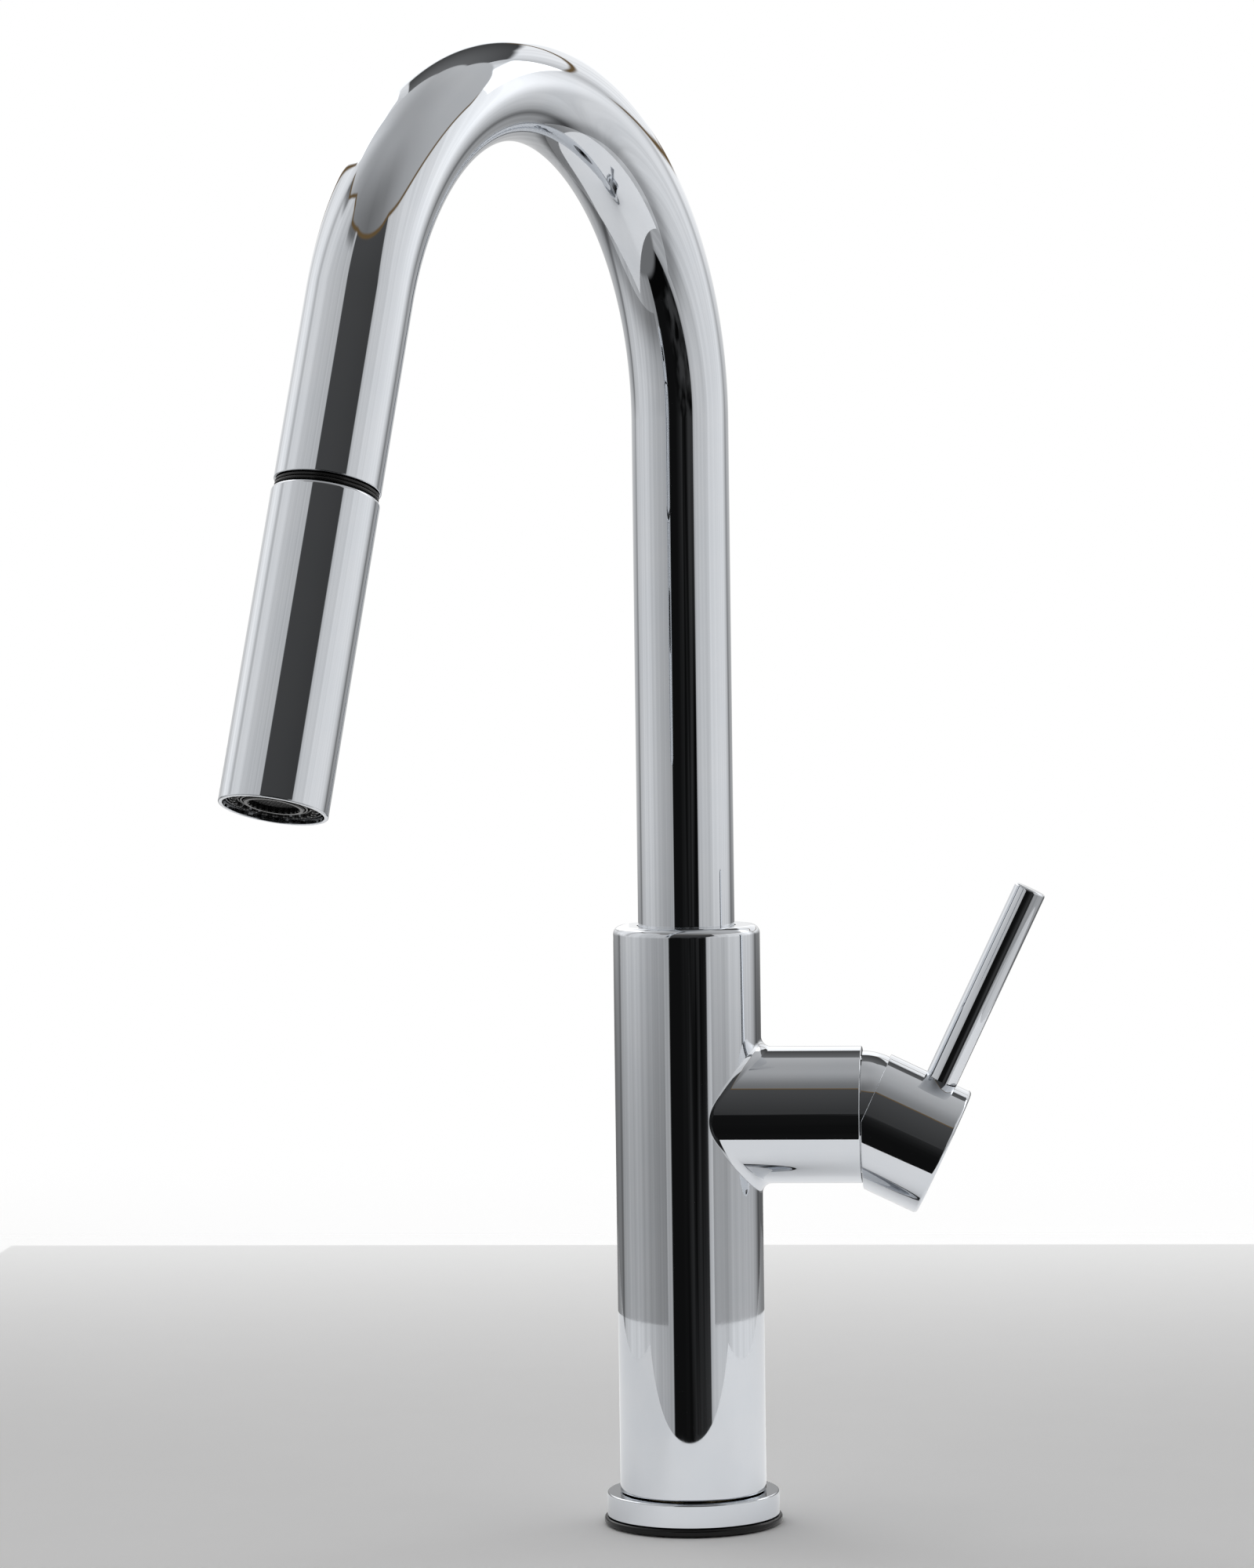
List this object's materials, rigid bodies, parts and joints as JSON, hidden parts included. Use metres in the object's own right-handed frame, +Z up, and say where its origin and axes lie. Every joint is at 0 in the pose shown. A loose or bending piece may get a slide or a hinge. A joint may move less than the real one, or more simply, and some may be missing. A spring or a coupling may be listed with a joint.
{
  "type": "kitchen faucet",
  "caption": "Single-lever kitchen faucet with a tall gooseneck spout, a pull-down spray wand and a side handle, polished chrome.",
  "frame": {"origin": "centre of the deck gasket's underside, on the deck surface", "axes": "+Z up along the body, +X along the side arm that carries the handle, -Y towards the user; the spout rests turned 24.3 degrees from -Y towards -X, as pictured"},
  "size_m": [0.2066, 0.2363, 0.5145],
  "materials": {
    "polished_chrome": "mirror polish",
    "black_rubber": "smooth, slightly glossy",
    "black_plastic": "satin",
    "raw_brass": "machined",
    "zinc_steel": "plated",
    "copper_tube": "drawn copper, bright",
    "white_plastic": "moulded",
    "grey_plastic": "moulded",
    "white_ceramic": "lapped ceramic",
    "braided_hose": "woven braid"
  },
  "bodies": {
    "body": {"deck_gasket": "black_rubber", "base_ring": "polished_chrome", "body_shell": "polished_chrome", "threaded_shank": "raw_brass", "rubber_washer": "black_rubber", "clamp_washer": "zinc_steel", "mounting_nut": "raw_brass", "jack_screw_1": "zinc_steel", "jack_screw_2": "zinc_steel", "jack_screw_3": "zinc_steel", "valve_manifold": "raw_brass", "hot_inlet_tube": "copper_tube", "cold_inlet_tube": "copper_tube", "outlet_tube": "copper_tube", "hot_inlet_nipple": "raw_brass", "cold_inlet_nipple": "raw_brass", "hot_port_seal": "black_rubber", "cold_port_seal": "black_rubber", "outlet_port_seal": "black_rubber", "cartridge_housing": "white_plastic", "fixed_ceramic_disc": "white_ceramic", "cartridge_cover": "white_plastic", "cartridge_nut": "raw_brass", "bonnet_dome": "polished_chrome", "swivel_bearing_upper": "white_plastic", "swivel_bearing_lower": "white_plastic", "spout_retaining_ring": "zinc_steel"},
    "spout": {"spout_tube": "polished_chrome", "swivel_sleeve": "raw_brass", "spout_o_ring_upper": "black_rubber", "spout_o_ring_lower": "black_rubber", "dock_guide": "black_plastic", "spray_hose": "braided_hose", "hose_coupling": "raw_brass"},
    "hose_end": {"hose_ferrule": "zinc_steel", "swivel_stem": "raw_brass"},
    "wand": {"wand_shell": "polished_chrome", "wand_collar": "black_plastic", "hose_nut": "raw_brass", "connector_washer": "black_rubber", "wand_core": "grey_plastic", "check_valve": "white_plastic", "spray_face": "black_plastic", "face_o_ring": "black_rubber", "nozzle_ring": "black_rubber", "aerator_housing": "black_plastic", "aerator_screen": "zinc_steel", "button_spring": "zinc_steel"},
    "button": {"spray_button": "black_plastic", "diverter_spool": "raw_brass"},
    "valve_carrier": {"stem_carrier": "grey_plastic", "stem_pin": "zinc_steel"},
    "valve_disc": {"moving_ceramic_disc": "white_ceramic", "disc_driver": "grey_plastic"},
    "handle": {"cartridge_stem": "zinc_steel", "handle_cap": "polished_chrome", "lever_rod": "polished_chrome", "handle_set_screw": "zinc_steel", "set_screw_plug": "black_rubber"}
  },
  "joints": [
    {"name": "spout_swivel", "type": "hinge", "parent": "body", "child": "spout", "pos_m": [0, 0, 0.15], "axis": [0, 0, 1], "range_deg": [-155.7, 204.3]},
    {"name": "wand_pull", "type": "slide", "parent": "spout", "child": "hose_end", "axis": [-0.1322, -0.2928, -0.947], "range_m": [0, 0.18], "stiffness_N_per_m": 10, "springref_m": -0.8, "deforming": ["spray_hose"]},
    {"name": "wand_spin", "type": "hinge", "parent": "hose_end", "child": "wand", "pos_m": [-0.07763, -0.17194, 0.29838], "axis": [-0.1322, -0.2928, -0.947], "continuous": true},
    {"name": "spray_button_press", "type": "slide", "parent": "wand", "child": "button", "axis": [-0.3897, -0.8631, 0.3213], "range_m": [0, 0.002], "stiffness_N_per_m": 1500, "springref_m": -0.001, "deforming": ["button_spring"]},
    {"name": "handle_temperature", "type": "hinge", "parent": "body", "child": "valve_carrier", "pos_m": [0.0505, 0, 0.1187], "axis": [1, 0, 0], "range_deg": [-45, 45]},
    {"name": "handle_lift", "type": "hinge", "parent": "valve_carrier", "child": "handle", "pos_m": [0.0505, 0, 0.1187], "axis": [0, 1, 0], "range_deg": [-25.5, 0]},
    {"name": "disc_slide", "type": "slide", "parent": "valve_carrier", "child": "valve_disc", "axis": [0, 0, 1], "range_m": [-0.0041, 0]}
  ],
  "couplings": [
    {"joint": "disc_slide", "follows": "handle_lift", "m_per_rad": 0.009189}
  ]
}
